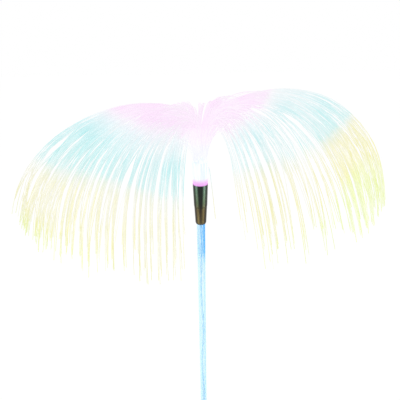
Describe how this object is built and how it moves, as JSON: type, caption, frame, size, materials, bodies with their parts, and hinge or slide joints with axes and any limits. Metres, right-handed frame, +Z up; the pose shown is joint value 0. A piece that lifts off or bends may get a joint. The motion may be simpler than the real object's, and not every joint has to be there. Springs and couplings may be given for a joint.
{
  "type": "solar garden stake light",
  "caption": "Garden stake light with a fountain of glowing fibres on a clear tube, a tilting solar box and a ground spike.",
  "frame": {"origin": "on the tube's axis at the level of the soil, where the flange's underside rests", "axes": "+Z up along the tube; the solar box hangs on the -Y side; +X to the right seen from that side"},
  "size_m": [0.4236, 0.166, 0.8083],
  "materials": {
    "black_plastic": "fine moulded texture",
    "dark_ferrule": "dark metallised gloss",
    "clear_tube": "clear acrylic with a blue tint",
    "clear_window": "clear polycarbonate",
    "rubber": "soft black rubber",
    "glow_fibre": "side-glow fibre, pink to cyan to yellow from the middle outwards",
    "wire_skin": "thin insulated wire",
    "steel": "zinc plated",
    "silicon": "dark blue silicon strips",
    "green_board": "green solder mask",
    "black_epoxy": "moulded epoxy",
    "copper": "lacquered copper wire",
    "led_lens": "clear epoxy",
    "battery_wrap": "green shrink sleeve, bare of words"
  },
  "bodies": {
    "spike": {"ground_spike": "black_plastic"},
    "bush": {"socket_bush": "rubber"},
    "stem": {"stem_tube": "clear_tube", "foot_plug": "rubber", "led_wire_1": "wire_skin", "led_wire_2": "wire_skin", "lamp_holder": "dark_ferrule", "fibre_cup": "dark_ferrule", "led_board": "green_board", "led_lamp": "led_lens", "fibres_right_back": "glow_fibre", "fibres_left_back": "glow_fibre", "fibres_left_front": "glow_fibre", "fibres_right_front": "glow_fibre", "arm_bracket": "black_plastic", "clamp_cap": "black_plastic", "clamp_screw_1": "steel", "clamp_screw_2": "steel", "stem_grommet": "rubber"},
    "panel": {"panel_shell": "black_plastic", "panel_bezel": "black_plastic", "panel_gasket": "rubber", "panel_window": "clear_window", "solar_cell": "silicon", "circuit_board": "green_board", "driver_chip": "black_epoxy", "boost_coil": "copper", "switch_body": "black_epoxy", "battery": "battery_wrap", "battery_spring": "steel", "battery_plate": "steel", "panel_grommet": "rubber", "case_screw_1": "steel", "case_screw_2": "steel", "case_screw_3": "steel", "case_screw_4": "steel", "tilt_bolt": "steel"},
    "knob": {"tilt_knob": "black_plastic"},
    "button": {"power_button": "rubber"},
    "cover": {"battery_cover": "black_plastic"}
  },
  "joints": [
    {"name": "stem_lift", "type": "slide", "parent": "spike", "child": "bush", "axis": [0, 0, 1], "range_m": [0, 0.034]},
    {"name": "stem_swivel", "type": "hinge", "parent": "bush", "child": "stem", "pos_m": [0, 0, 0.04], "axis": [0, 0, 1], "continuous": true},
    {"name": "panel_tilt", "type": "hinge", "parent": "stem", "child": "panel", "pos_m": [0, -0.042, 0.11], "axis": [1, 0, 0], "range_deg": [-30, 40]},
    {"name": "knob_turn", "type": "hinge", "parent": "panel", "child": "knob", "pos_m": [0.012, -0.042, 0.11], "axis": [1, 0, 0], "continuous": true},
    {"name": "button_press", "type": "slide", "parent": "panel", "child": "button", "axis": [0, -0.7071, 0.7071], "range_m": [0, 0.0008], "stiffness_N_per_m": 900},
    {"name": "cover_slide", "type": "slide", "parent": "panel", "child": "cover", "axis": [1, 0, 0], "range_m": [0, 0.068]}
  ]
}
